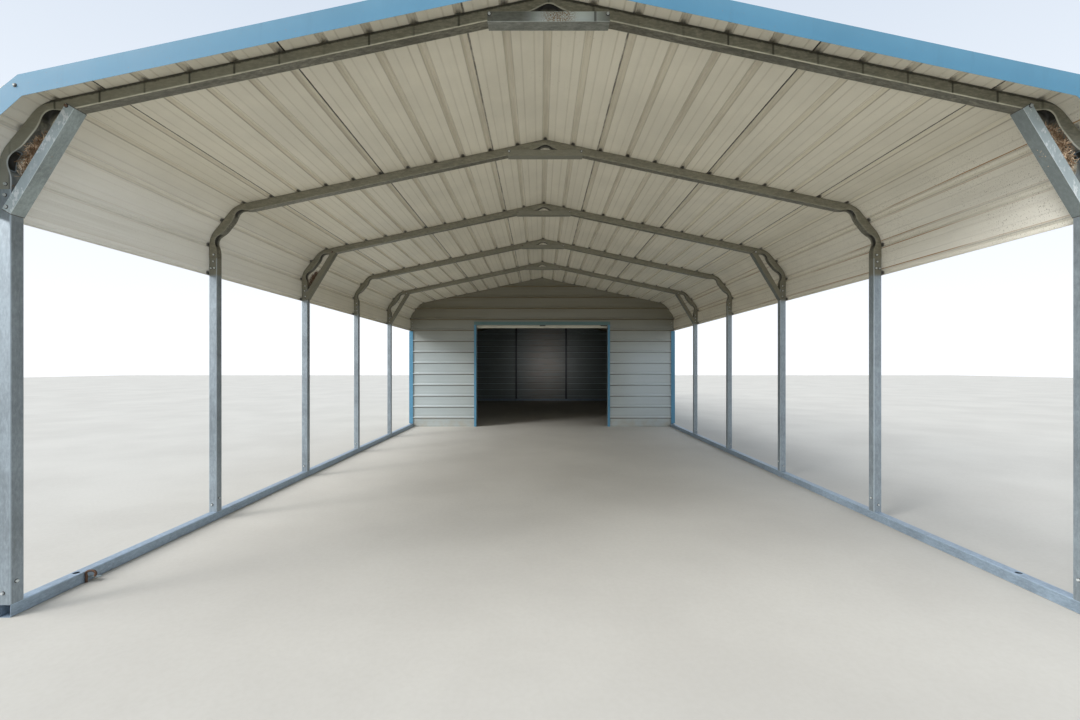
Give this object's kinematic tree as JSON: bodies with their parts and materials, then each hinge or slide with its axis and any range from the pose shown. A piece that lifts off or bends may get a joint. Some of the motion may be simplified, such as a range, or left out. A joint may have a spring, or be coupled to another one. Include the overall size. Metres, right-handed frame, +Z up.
{
  "type": "carport with shed",
  "caption": "Steel tube carport with a low gable roof of ribbed sheet and rounded eaves; the rear half is closed with ribbed siding as a shed with a wide doorway.",
  "frame": {"origin": "on the ground, in the middle of the footprint", "axes": "+Z up, -Y out of the open end, the shed fills the +Y half, +X to the right of someone who looks in at the open end"},
  "size_m": [5.5314, 15.6354, 3.1227],
  "materials": {
    "galvanised_tube": "galvanised, weathered, semi-matt",
    "galvanised_channel": "galvanised with rust specks",
    "roof_sheet": "pale coating, satin, stained beside the ribs",
    "wall_sheet": "beige coating, satin, dusty towards the ground",
    "blue_trim": "blue coating, satin, faded",
    "teal_trim": "dark teal coating, satin",
    "door_curtain": "pale coating, satin",
    "door_bar": "pale coating, satin"
  },
  "bodies": {
    "root": {"base_rail_left": "galvanised_tube", "base_rail_right": "galvanised_tube", "rear_base_rail": "galvanised_tube", "doorway_base_rails": "galvanised_tube", "legs_left": "galvanised_tube", "legs_right": "galvanised_tube", "bow_01": "galvanised_tube", "bow_02": "galvanised_tube", "bow_03": "galvanised_tube", "bow_04": "galvanised_tube", "bow_05": "galvanised_tube", "bow_06": "galvanised_tube", "bow_07": "galvanised_tube", "bow_08": "galvanised_tube", "bow_09": "galvanised_tube", "bow_10": "galvanised_tube", "bow_11": "galvanised_tube", "door_posts": "galvanised_tube", "door_header": "galvanised_tube", "rear_wall_posts": "galvanised_tube", "ridge_ties": "galvanised_channel", "knee_braces_left": "galvanised_channel", "knee_braces_right": "galvanised_channel", "door_guides": "galvanised_channel", "door_brackets": "galvanised_channel", "ridge_sheet": "roof_sheet", "upper_roof_sheets": "roof_sheet", "lower_roof_sheets": "roof_sheet", "eave_sheets": "roof_sheet", "side_wall_top_sheets": "wall_sheet", "side_wall_middle_sheets": "wall_sheet", "side_wall_bottom_sheets": "wall_sheet", "front_wall_gable_sheet": "wall_sheet", "front_wall_upper_sheet": "wall_sheet", "front_wall_middle_sheet": "wall_sheet", "front_wall_bottom_sheet": "wall_sheet", "rear_wall_gable_sheet": "wall_sheet", "rear_wall_upper_sheet": "wall_sheet", "rear_wall_middle_sheet": "wall_sheet", "rear_wall_bottom_sheet": "wall_sheet", "front_gable_trims": "blue_trim", "rear_gable_trims": "blue_trim", "front_corner_trims": "blue_trim", "rear_corner_trims": "blue_trim", "door_jamb_trims": "blue_trim", "door_header_trim": "teal_trim", "door_curtain": "door_curtain", "door_bottom_bar": "door_bar"}
  },
  "joints": []
}
